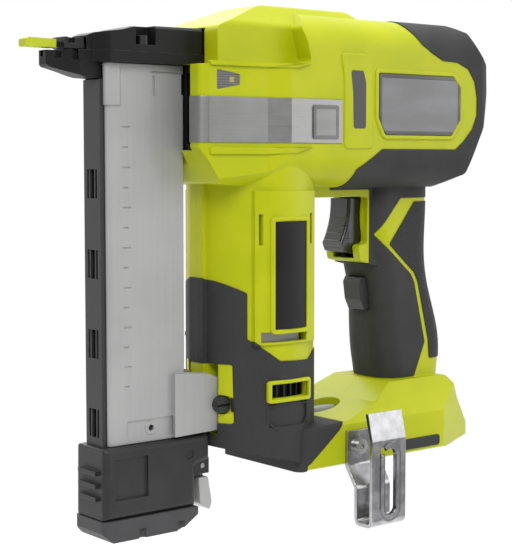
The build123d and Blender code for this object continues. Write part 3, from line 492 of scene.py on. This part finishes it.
badge_corners = ((0.200, -0.009), (0.258, -0.009), (0.264, -0.015), (0.264, -0.033), (0.257, -0.042),
                 (0.205, -0.042), (0.200, -0.033))
plate_corners = ((0.128, -0.088), (0.149, -0.088), (0.149, -0.144), (0.128, -0.144))
window_corners = ((0.1245, -0.1715), (0.1525, -0.1715), (0.1525, -0.1825), (0.1245, -0.1825))
block_corners = ((0.1745, -0.050), (0.1745, -0.012), (0.172, 0.001), (0.192, 0.001), (0.1955, -0.006),
                 (0.1955, -0.050))
ledge_corners = ((0.089, -0.0085), (0.108, -0.0085), (0.124, -0.0085), (0.1415, -0.0085), (0.150, -0.0060),
                 (0.150, -0.0045), (0.1415, -0.0062), (0.124, -0.0062), (0.108, -0.0062), (0.089, -0.0062))
chin_corners = ((0.089, -0.0530), (0.108, -0.0530), (0.124, -0.0530), (0.1415, -0.0525), (0.152, -0.0490),
                (0.1415, -0.0490), (0.124, -0.0495), (0.108, -0.0495), (0.089, -0.0495))
for side, hand in ((-1, "left"), (1, "right")):
    badge_frame = moved_in(badge_corners, FRAME_MARGIN)
    plate_frame = moved_in(plate_corners, FRAME_MARGIN)
    window_frame = moved_in(window_corners, -0.0004)
    raised_ring(f"{hand}_badge_bead", badge_frame, FRAME_CORNER, BEAD_WIDTH, BEAD_BEDDED,
                BEAD_HEIGHT, flat_side, side, casing_finish, 0.0005)
    raised_ring(f"{hand}_plate_rim", plate_frame, FRAME_CORNER, RIM_WIDTH, BEAD_BEDDED,
                RIM_HEIGHT, panel_side, side, casing_finish, 0.0005)
    raised_ring(f"{hand}_window_rim", window_frame, 0.002, 0.0019, -0.0010,
                RIM_HEIGHT, panel_side, side, casing_finish, 0.0004)
    raised_plate(f"{hand}_accent_block", block_corners, FRAME_CORNER, -0.0008, 0.0007, flat_side, side,
                 casing_finish, 0.0006)
    raised_plate(f"{hand}_head_ledge", ledge_corners, LEDGE_CORNER, LEDGE_BEDDED, 0.0011, nose_side, side,
                 casing_finish, 0.0006)
    raised_plate(f"{hand}_chin_ledge", chin_corners, LEDGE_CORNER, LEDGE_BEDDED, 0.0010, nose_side, side,
                 casing_finish, 0.0006)

# ------------------------------------------------------------ motor shield and vent grille
# Behind the opening under the name plate lies a bright steel shield round the motor. Behind
# the vent window a plain black sheet stands for the shade inside the casing, painted shade, with
# black upright bars in front of it, and a rubber bead runs round the pocket below it.
shield_finish = brushed("shield_zinc", (0.42, 0.42, 0.42), (0.62, 0.62, 0.62), 0.36, (1, 1, 30))
grille_finish = moulded("grille_nylon", (0.008, 0.008, 0.0085), (0.014, 0.014, 0.0145), 0.4, 0.0006, 0.00003)
SHIELD_RADIUS = 0.0305
STRIP_STEPS = 7
STRIP_STEP = 0.004
VENT_BARS = 6
VENT_PITCH = 0.0046
VENT_BAR_WIDTH = 0.0012
VENT_LOW = -0.1825
VENT_HIGH = -0.1712


def inside_wall(x, z):
    """Half width of the motor shield inside the barrel."""
    return sqrt(SHIELD_RADIUS**2 - (x - BARREL_X) ** 2)


def curved_strip(start, low, high):
    """Outline with enough points along it to follow the round wall."""
    across = [start + STRIP_STEP * step for step in range(STRIP_STEPS + 1)]
    return [(x, low) for x in across] + [(x, high) for x in reversed(across)]


shield_corners = curved_strip(0.121, -0.1535, -0.1430)
shade_sheet_corners = curved_strip(0.1245, -0.1840, -0.1700)
for side, hand in ((-1, "left"), (1, "right")):
    raised_plate(f"{hand}_motor_shield", shield_corners, 0.0004, -0.0008, 0.0004, inside_wall, side,
                 shield_finish, 0.0)
    # A black sheet behind the vent window: painted shade for the inside of the casing.
    raised_plate(f"{hand}_vent_shade_sheet", shade_sheet_corners, 0.0004, -0.0030, -0.0018, inside_wall, side,
                 grille_finish, 0.0)
    for number in range(VENT_BARS):
        x = 0.1275 + VENT_PITCH * number
        bar = ((x, VENT_LOW), (x + VENT_BAR_WIDTH, VENT_LOW), (x + VENT_BAR_WIDTH, VENT_HIGH), (x, VENT_HIGH))
        raised_plate(f"{hand}_vent_bar_{number + 1}", bar, 0.0003, -0.0020, 0.0006, inside_wall, side,
                     grille_finish, 0.0002)
    pocket = ((0.1245, -0.1840), (0.1525, -0.1840), (0.1525, -0.1930), (0.1490, -0.1970), (0.1285, -0.1970),
              (0.1245, -0.1930))
    raised_ring(f"{hand}_pocket_bead", pocket, 0.002, 0.0012, -0.0010, 0.0009, barrel_side, side,
                bumper, 0.0003)

# ------------------------------------------------------------ casing screws
# Thread-forming screws with a six-lobed socket go in from the right and pull the two casing
# halves together; each sits in a shallow round boss.
SCREW_RADIUS = 0.0034
SCREW_SUNK = 0.0004
BOSS_RADIUS = 0.0050
GRIP_HALF_WIDTH = 0.0185
casing_screw_finish = brushed("casing_screw", (0.05, 0.05, 0.051), (0.16, 0.16, 0.16), 0.34, (1, 1, 1))


def socket_screw(name, x, z, y, radius, finish):
    """Pan head with a six-lobed socket, its axis across the tool."""
    mesh = bmesh.new()
    count = 36
    rings = []
    profile = ((1.0, 0.0), (1.0, 0.45), (0.9, 0.62), (0.62, 0.66))
    for share, rise in profile:
        rings.append([mesh.verts.new((x + radius * share * cos(2 * pi * n / count), y + radius * rise * 0.5,
                                      z + radius * share * sin(2 * pi * n / count))) for n in range(count)])
    for depth in (0.66, 0.1):
        ring = []
        for n in range(count):
            lobe = radius * (0.42 + 0.07 * cos(6 * 2 * pi * n / count))
            ring.append(mesh.verts.new((x + lobe * cos(2 * pi * n / count), y + radius * depth * 0.5,
                                        z + lobe * sin(2 * pi * n / count))))
        rings.append(ring)
    for first, second in zip(rings, rings[1:]):
        for n in range(count):
            other = (n + 1) % count
            mesh.faces.new((first[n], first[other], second[other], second[n]))
    mesh.faces.new(rings[-1])
    return finish_piece(name, mesh, finish, 0.0, "body")


def boss(name, x, z, y, finish):
    """Low round boss around a screw head."""
    turns = [2 * pi * number / 16 for number in range(16)]
    corners = [(x + BOSS_RADIUS * cos(turn), z + BOSS_RADIUS * sin(turn)) for turn in turns]
    return raised_ring(name, corners, 0.0006, 0.0013, -0.0004, 0.0008, lambda across, up: y, 1,
                       finish, 0.0002)


for number, (x, z, y) in enumerate((
    (0.160, -0.0155, HEAD_HALF_WIDTH), (0.214, -0.0505, HEAD_HALF_WIDTH), (0.252, -0.0505, HEAD_HALF_WIDTH),
    (0.160, -0.2105, HEAD_HALF_WIDTH), (0.212, -0.2100, HEAD_HALF_WIDTH), (0.246, -0.2075, HEAD_HALF_WIDTH),
    (0.236, -0.0960, GRIP_HALF_WIDTH),
)):
    socket_screw(f"casing_screw_{number + 1}", x, z, y - SCREW_SUNK, SCREW_RADIUS,
                 casing_screw_finish)
    boss(f"screw_boss_{number + 1}", x, z, y, overmould if y == GRIP_HALF_WIDTH else casing_finish)

# ------------------------------------------------------------ nose
# Cast steel cover and plate with a black coating, held by socket screws. The coating is a
# little lumpy and rubs off along the edges.


def coated(name, tone, bare, rough, grain=0.0009, depth=0.00005, **constants):
    """Black-coated metal: lumpy coat, bare metal just showing along the edges."""
    finish = Finish(name, constants)
    soft, rim = finish.soft_edge(0.0005)
    lumps = finish.place.noise(grain, 3.0)
    rubbed = rim * finish.place.noise(0.003, 4.0).step(0.42, 0.62)
    finish.feed(Base_Color=(rubbed * 0.6).blend(lumps.blend(tone, tuple(p * 1.5 for p in tone)), bare))
    finish.feed(Roughness=rough + lumps * 0.12 - rubbed * 0.1)
    finish.feed(Metallic=0.15 + rubbed * 0.5)
    finish.relief(lumps, depth, soft)
    return finish


BLACK = (0.006, 0.006, 0.0065)
nose_finish = coated("nose_black", BLACK, (0.12, 0.12, 0.12), 0.42, **{"Specular IOR Level": 0.35})
dress(("nose_cover", "nose_plate", "nose_frame"), nose_finish)
trip_finish = coated("trip_black", (0.010, 0.010, 0.011), (0.2, 0.2, 0.2), 0.34)
dress(("contact_trip",), trip_finish)
pad_finish = moulded("pad_rubber", (0.45, 0.52, 0.005), (0.50, 0.56, 0.01), 0.5, 0.0005, 0.00003)
dress(("no_mar_pad",), pad_finish)
screw_finish = brushed("screw_black_oxide", (0.035, 0.035, 0.036), (0.10, 0.10, 0.10), 0.36, (1, 1, 1))
dress(("nose_screws", "handle_screws"), screw_finish)

# ------------------------------------------------------------ magazine shell
# Extruded aluminium channel with a satin silver coat: very fine metallic flake, faint marks
# from the strips of nails, and a lug at the bottom rear held by a black thumb screw.
shell = Finish("magazine_silver", {"Specular IOR Level": 0.5})
soft, rim = shell.soft_edge(0.0006)
flake = shell.place.noise(0.00022, 1.0)
draw = shell.place.noise(0.0016, 3.0, (1, 1, 40))
clouds = shell.place.noise(0.03, 3.0).step(0.3, 0.7)
silver = flake * 0.35 + draw * 0.35 + clouds * 0.2
shell.feed(Base_Color=silver.blend((0.36, 0.36, 0.36), (0.52, 0.52, 0.515)))
shell.feed(Roughness=0.42 + flake * 0.1 + clouds * 0.05 - rim * 0.1)
shell.feed(Metallic=0.35 + flake * 0.1)
shell.relief(flake * 0.6 + draw * 0.4, 0.00002, soft)
dress(("magazine_shell",), shell)
thumb_finish = moulded("thumb_screw", (0.02, 0.02, 0.021), (0.035, 0.035, 0.036), 0.4, 0.0005, 0.00004)
dress(("lug_screw",), thumb_finish)

# ------------------------------------------------------------ magazine rail, handle and base
# The rail is black-coated steel. The handle that pulls it down is black nylon with finger
# ridges, and a rubber base under it takes the knocks.
rail_finish = coated("rail_black", (0.03, 0.03, 0.032), (0.22, 0.22, 0.22), 0.4, 0.0005, 0.00003)
dress(("magazine_rail", "pusher"), rail_finish)
handle_finish = moulded("handle_nylon", (0.013, 0.013, 0.0135), (0.021, 0.021, 0.022), 0.42, 0.0007,
                        0.00006, edge_highlight=0.6)
dress(("magazine_handle",), handle_finish)
base_finish = moulded("base_rubber", (0.045, 0.045, 0.048), (0.06, 0.06, 0.063), 0.6, 0.0008,
                      0.00008, edge_highlight=0.5)
dress(("magazine_base",), base_finish)
latch_finish = moulded("latch_grey", (0.36, 0.36, 0.355), (0.42, 0.42, 0.41), 0.42, 0.0006, 0.00003)
dress(("magazine_latch", "mode_lever"), latch_finish)

# ------------------------------------------------------------ trigger and power button
# Black glass-filled nylon. The finger face of the trigger is ribbed and matt, its sides are
# glossy from the mould.
RIB_PITCH = 0.0042
trigger_finish = Finish("trigger_nylon", {"Coat Roughness": 0.15})
soft, rim = trigger_finish.soft_edge(0.0006)
spot = trigger_finish.place
low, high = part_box("trigger")
front = 1.0 - (spot.axis(0) + (spot.axis(2) - low.z) * 0.06).step(low.x + 0.0058, low.x + 0.0066)
ribs = abs((spot.axis(2) * (pi / RIB_PITCH)).sine()).step(0.1, 0.5)
grit = spot.noise(0.0006, 1.0)
# A painted highlight along the edges, and the finger face is coloured lighter between the ribs.
edge_highlight_and_face_tone = rim * 0.6 + front * (1.0 - ribs) * 0.25
trigger_finish.feed(Base_Color=edge_highlight_and_face_tone.blend((0.010, 0.010, 0.011), (0.06, 0.06, 0.062)))
trigger_finish.feed(Roughness=0.24 + grit * 0.05 + front * 0.1)
trigger_finish.feed(Coat_Weight=0.4 + grit * 0.1)
trigger_finish.relief(front * ribs + grit * 0.04, 0.0005, soft)
dress(("trigger",), trigger_finish)
button_finish = moulded("button_nylon", (0.018, 0.018, 0.019), (0.028, 0.028, 0.03), 0.4, 0.0006,
                        0.00003, edge_highlight=0.6)
dress(("power_button",), button_finish)
bright_pin = brushed("bright_pin", (0.42, 0.42, 0.42), (0.62, 0.62, 0.62), 0.26, (1, 30, 1))
dress(("trigger_pin", "latch_pin", "trip_spring", "hook_screw", "shaft_bearings"), bright_pin)

# ------------------------------------------------------------ belt hook
# Spring steel strip, bent in one piece and chrome plated; its long slot has a rolled edge.
# The plating is bright with faint polishing haze.
chrome = Finish("hook_chrome", {"Metallic": 1.0})
soft, rim = chrome.soft_edge(0.0006)
haze = chrome.place.noise(0.006, 4.0).step(0.3, 0.7)
fine = chrome.place.noise(0.0004, 2.0, (1, 1, 20))
low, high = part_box("belt_hook")
slot_x, slot_z = (low.x + high.x) / 2 + 0.001, -0.229
along = (abs(chrome.place.axis(2) - slot_z) - 0.014) | 0.0
away = abs(chrome.place.axis(0) - slot_x)
square = along * along + away * away
reach = square.maths("SQRT", square)
outer_leg = 1.0 - chrome.place.axis(1).step(low.y + 0.0030, low.y + 0.0036)
rolled = reach.step(0.0040, 0.0048) * (1.0 - reach.step(0.0068, 0.0080)) * outer_leg
# Painted shade: dark lines on either side of the rolled edge of the slot, on the outer leg.
outer_crease_shade = reach.step(0.0064, 0.0072) * (1.0 - reach.step(0.0074, 0.0086))
crease_shade = (1.0 - reach.step(0.0042, 0.0052)) | outer_crease_shade
# The chrome colour holds the real polishing haze and also a painted highlight along the edges.
sheen = (haze * 0.5 + rim * 0.3).blend((0.36, 0.36, 0.37), (0.62, 0.62, 0.63))
chrome.feed(Base_Color=(crease_shade * outer_leg * 0.8).blend(sheen, (0.06, 0.06, 0.065)))
chrome.feed(Roughness=0.12 + haze * 0.08 + fine * 0.05)
chrome.relief(fine * 0.02 + haze * 0.05 + rolled, 0.0007, soft)
dress(("belt_hook",), chrome)

# ------------------------------------------------------------ battery socket
# Black nylon tray and stem that guide the battery, with three brass blades at its top.
socket_finish = moulded("socket_nylon", (0.02, 0.02, 0.021), (0.03, 0.03, 0.031), 0.5, 0.0008, 0.00006)
dress(("battery_socket", "trigger_switch"), socket_finish)
brass_finish = brushed("terminal_brass", (0.48, 0.33, 0.10), (0.66, 0.48, 0.18), 0.3, (1, 1, 30))
dress(("battery_terminals",), brass_finish)
board_finish = moulded("board_green", (0.01, 0.08, 0.03), (0.015, 0.12, 0.045), 0.4, 0.001, 0.00005)
dress(("control_board",), board_finish)

# ------------------------------------------------------------ motor, lifter and cylinder
# Everything inside the casing: plated motor can, cast gearbox, steel lifter wheel, and the
# aluminium cylinder with its driver, seal and rubber stop.
motor_finish = brushed("motor_zinc", (0.40, 0.40, 0.40), (0.58, 0.58, 0.57), 0.32, (30, 30, 1))
dress(("motor_can", "motor_rotor"), motor_finish)
cast_metal = brushed("cast_aluminium", (0.42, 0.42, 0.42), (0.56, 0.56, 0.55), 0.45, (1, 1, 1), 0.00008)
dress(("gearbox", "drive_cylinder", "cylinder_front_cap", "cylinder_rear_cap"), cast_metal)
hard_steel = brushed("hard_steel", (0.16, 0.16, 0.16), (0.28, 0.28, 0.28), 0.3, (20, 1, 1))
dress(("lifter_wheel", "driver_piston"), hard_steel)
dress(("stop_bumper", "piston_seal"), base_finish)

# ------------------------------------------------------------ floor, light and camera
# Soft studio light: a broad key from the upper left, a fill from the right and a strip over
# the top for the long highlights on the casing. The pale floor fades out all round, and lies
# low enough for the magazine to be pulled down all the way above it.
MAGAZINE_TRAVEL = 0.15
lowest = cad_box[0][2] - MAGAZINE_TRAVEL
floor_mesh = bmesh.new()
bmesh.ops.create_grid(floor_mesh, x_segments=1, y_segments=1, size=6.0)
for vertex in floor_mesh.verts:
    vertex.co.z = lowest - 0.0005
floor_data = bpy.data.meshes.new("floor")
floor_mesh.to_mesh(floor_data)
floor_mesh.free()
floor = bpy.data.objects.new("floor", floor_data)
bpy.context.scene.collection.objects.link(floor)
paper = Finish("floor_paper", {"Roughness": 0.9, "Specular IOR Level": 0.0})
fibres = paper.place.noise(0.01, 4.0)
from_tool = paper.start.node("ShaderNodeVectorMath", {"operation": "LENGTH"}, {0: paper.place}, "Value")
paper.feed(Base_Color=fibres.blend((0.92, 0.92, 0.92), (0.95, 0.95, 0.95)))
paper.feed(Alpha=1.0 - from_tool.step(0.40, 1.0))
floor_data.materials.append(paper.material)

centre = (Vector(cad_box[0]) + Vector(cad_box[1])) / 2
for name, place, size, power in (
    ("key", (-0.75, -1.0, 1.05), 0.8, 15.0),
    ("fill", (1.25, -0.9, 0.25), 1.0, 4.0),
    ("strip", (0.15, 0.1, 1.3), 0.7, 9.0),
    ("back", (0.3, 1.3, 0.7), 1.0, 6.0),
):
    lamp = bpy.data.lights.new(name, "AREA")
    lamp.energy = power
    lamp.size = size
    light = bpy.data.objects.new(name, lamp)
    light.location = centre + Vector(place)
    light.rotation_euler = Vector(place).to_track_quat("Z", "Y").to_euler()
    bpy.context.scene.collection.objects.link(light)

world = bpy.data.worlds.new("studio")
bpy.context.scene.world = world
world.use_nodes = True
toward = Field(world).node("ShaderNodeTexCoord", {}, {}, "Generated")
room = (toward.axis(0) * 0.63 + toward.axis(1) * 0.78 + toward.axis(2) * 0.45).step(-0.35, 0.25)
shade = room.blend((0.34, 0.34, 0.345), (1.0, 1.0, 1.0))
world.node_tree.links.new(shade.socket, world.node_tree.nodes["Background"].inputs["Color"])
world.node_tree.nodes["Background"].inputs["Strength"].default_value = 1.0
bpy.context.scene.view_settings.view_transform = "Standard"

azimuth = radians(-39.0)
pitch = radians(4.558)
lens_data = bpy.data.cameras.new("camera")
lens_data.sensor_width = 36.0
lens_data.lens = 93.94
lens_data.clip_start = 0.01
camera = bpy.data.objects.new("camera", lens_data)
backward = Vector((sin(azimuth) * cos(pitch), -cos(azimuth) * cos(pitch), sin(pitch)))
camera.location = (-0.34563, -0.60363, -0.05593)
camera.rotation_euler = backward.to_track_quat("Z", "Y").to_euler()
bpy.context.scene.collection.objects.link(camera)
bpy.context.scene.camera = camera
